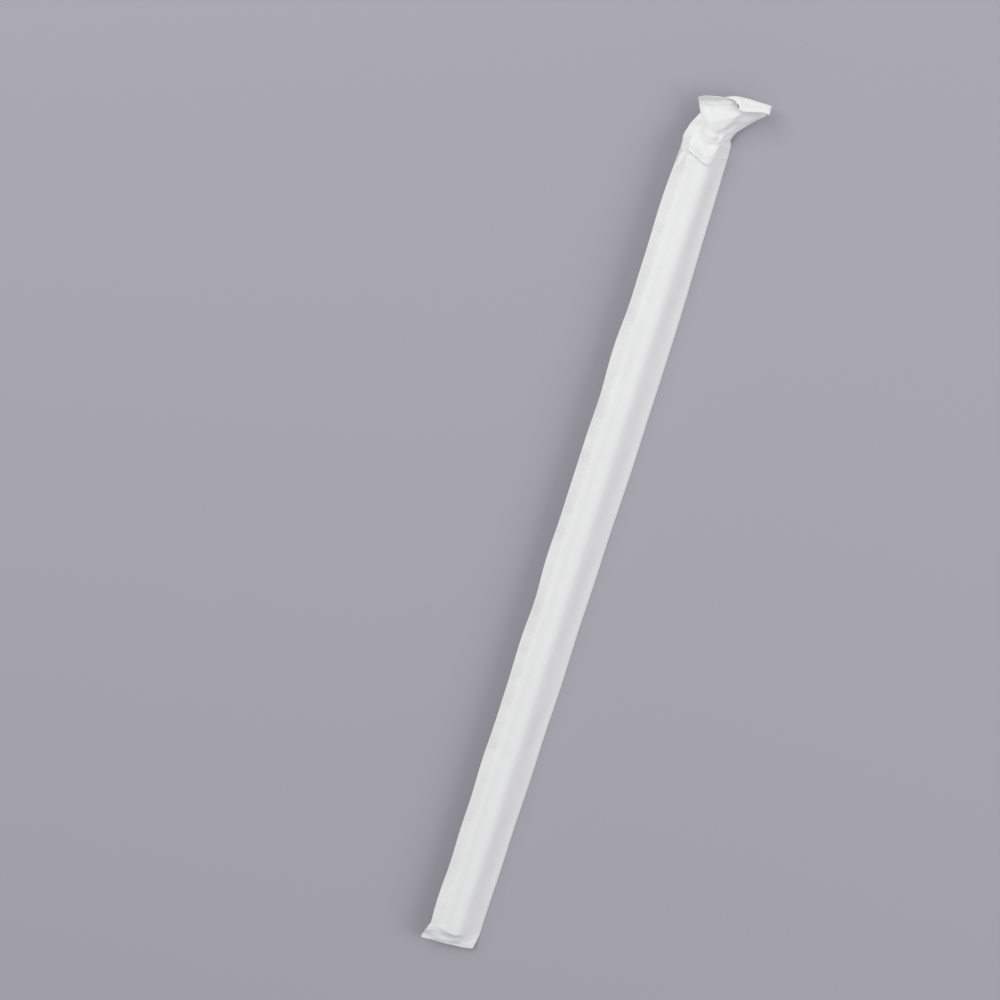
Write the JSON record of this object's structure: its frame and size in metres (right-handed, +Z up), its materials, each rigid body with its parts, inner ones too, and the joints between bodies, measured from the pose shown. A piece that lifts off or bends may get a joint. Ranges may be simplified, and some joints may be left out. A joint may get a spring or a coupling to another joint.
{
  "type": "wrapped drinking straw",
  "caption": "Long straight drinking straw sealed in a white paper wrapper with a crimped fin seam, one tucked end and one crumpled, fanned end.",
  "frame": {"origin": "centre of the flat paper facet that the packet lies on, half way along the straw", "axes": "+Y along the straw towards its crumpled top end, +X towards the folded edge of the wrapper, +Z up out of the resting facet"},
  "size_m": [0.0244, 0.2827, 0.0087],
  "materials": {
    "wrapper_paper": "matt"
  },
  "bodies": {
    "root": {"wrapped_straw": "wrapper_paper"}
  },
  "joints": []
}
